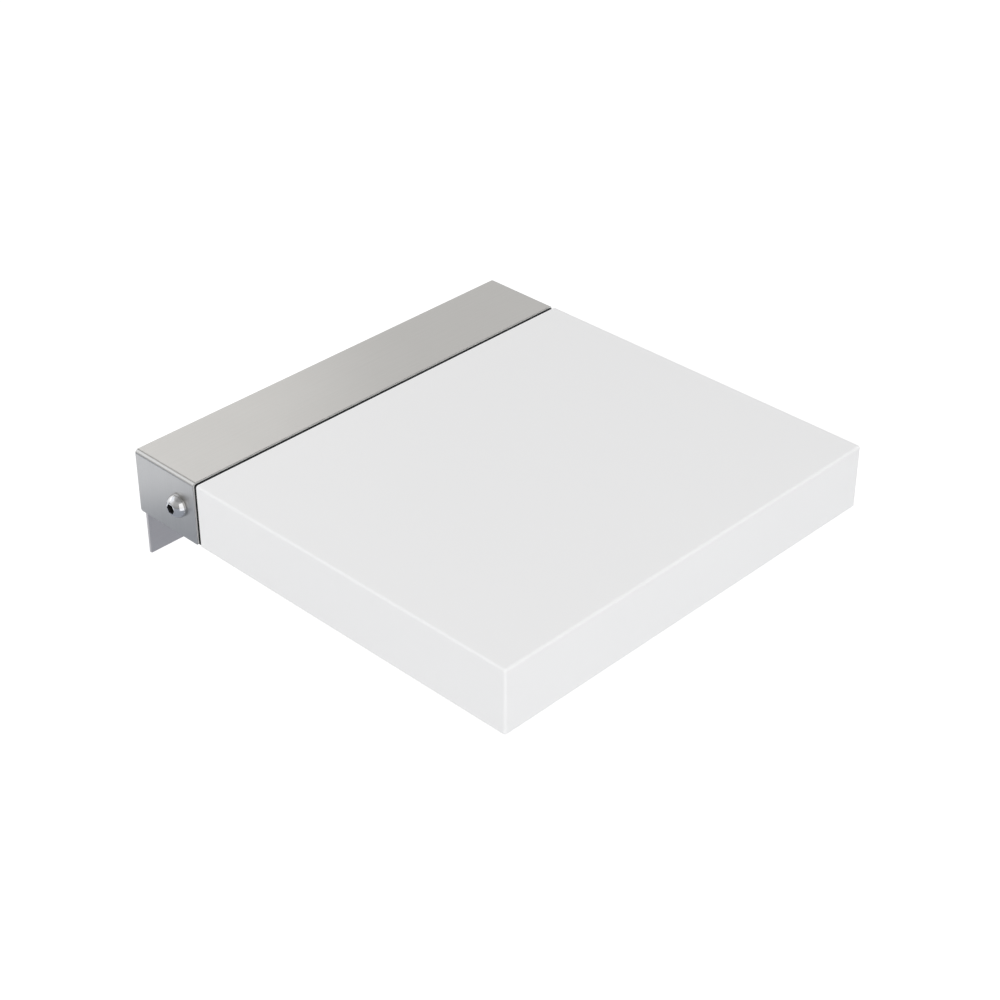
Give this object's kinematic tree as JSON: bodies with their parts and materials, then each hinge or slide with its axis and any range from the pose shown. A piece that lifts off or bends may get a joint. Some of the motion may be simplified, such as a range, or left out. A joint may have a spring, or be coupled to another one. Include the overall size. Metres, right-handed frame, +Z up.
{
  "type": "fold-down wall seat",
  "caption": "Fold-down wall seat: a square white board and its brushed steel hinge cover turn up together on a steel wall bracket.",
  "frame": {"origin": "centre of the wall plate's back face, which is also the centre of its fixing holes", "axes": "+X along the wall, to the right for a person who faces the wall, +Y into the wall, +Z up; the seat is down and reaches towards -Y"},
  "size_m": [0.3752, 0.3755, 0.1012],
  "materials": {
    "brushed_stainless": "brushed",
    "polished_stainless": "polished",
    "white_board": "satin solid surface",
    "black_rubber": "matt",
    "bush_plastic": "moulded",
    "block_plastic": "sawn",
    "frame_steel": "blasted",
    "fastener_steel": "machined",
    "insert_brass": "machined"
  },
  "bodies": {
    "wall_bracket": {"left_bearing_housing": "frame_steel", "left_hinge_arm": "frame_steel", "left_inner_bush": "bush_plastic", "left_outer_bush": "bush_plastic", "left_park_buffer": "black_rubber", "right_bearing_housing": "frame_steel", "right_hinge_arm": "frame_steel", "right_inner_bush": "bush_plastic", "right_outer_bush": "bush_plastic", "right_park_buffer": "black_rubber", "stop_bar": "frame_steel", "wall_plate": "brushed_stainless"},
    "seat": {"board_inserts": "insert_brass", "board_screws": "fastener_steel", "bottom_panel": "white_board", "cover_nuts": "fastener_steel", "cover_rail": "frame_steel", "cover_studs": "fastener_steel", "cover_washers": "fastener_steel", "front_tie": "frame_steel", "gap_seal": "black_rubber", "hinge_cover": "brushed_stainless", "left_lock_nut": "fastener_steel", "left_pivot_screw": "polished_stainless", "left_seat_arm": "frame_steel", "left_stop_block": "frame_steel", "left_stop_screw": "fastener_steel", "mounting_plate": "frame_steel", "panel_blocks": "block_plastic", "panel_screws": "fastener_steel", "pivot_axle": "frame_steel", "right_lock_nut": "fastener_steel", "right_pivot_screw": "polished_stainless", "right_seat_arm": "frame_steel", "right_stop_block": "frame_steel", "right_stop_screw": "fastener_steel", "seat_shell": "white_board"}
  },
  "joints": [
    {"name": "seat_fold", "type": "hinge", "parent": "wall_bracket", "child": "seat", "pos_m": [0, -0.06103, 0.0331], "axis": [-1, 0, 0], "range_deg": [0, 92]}
  ]
}
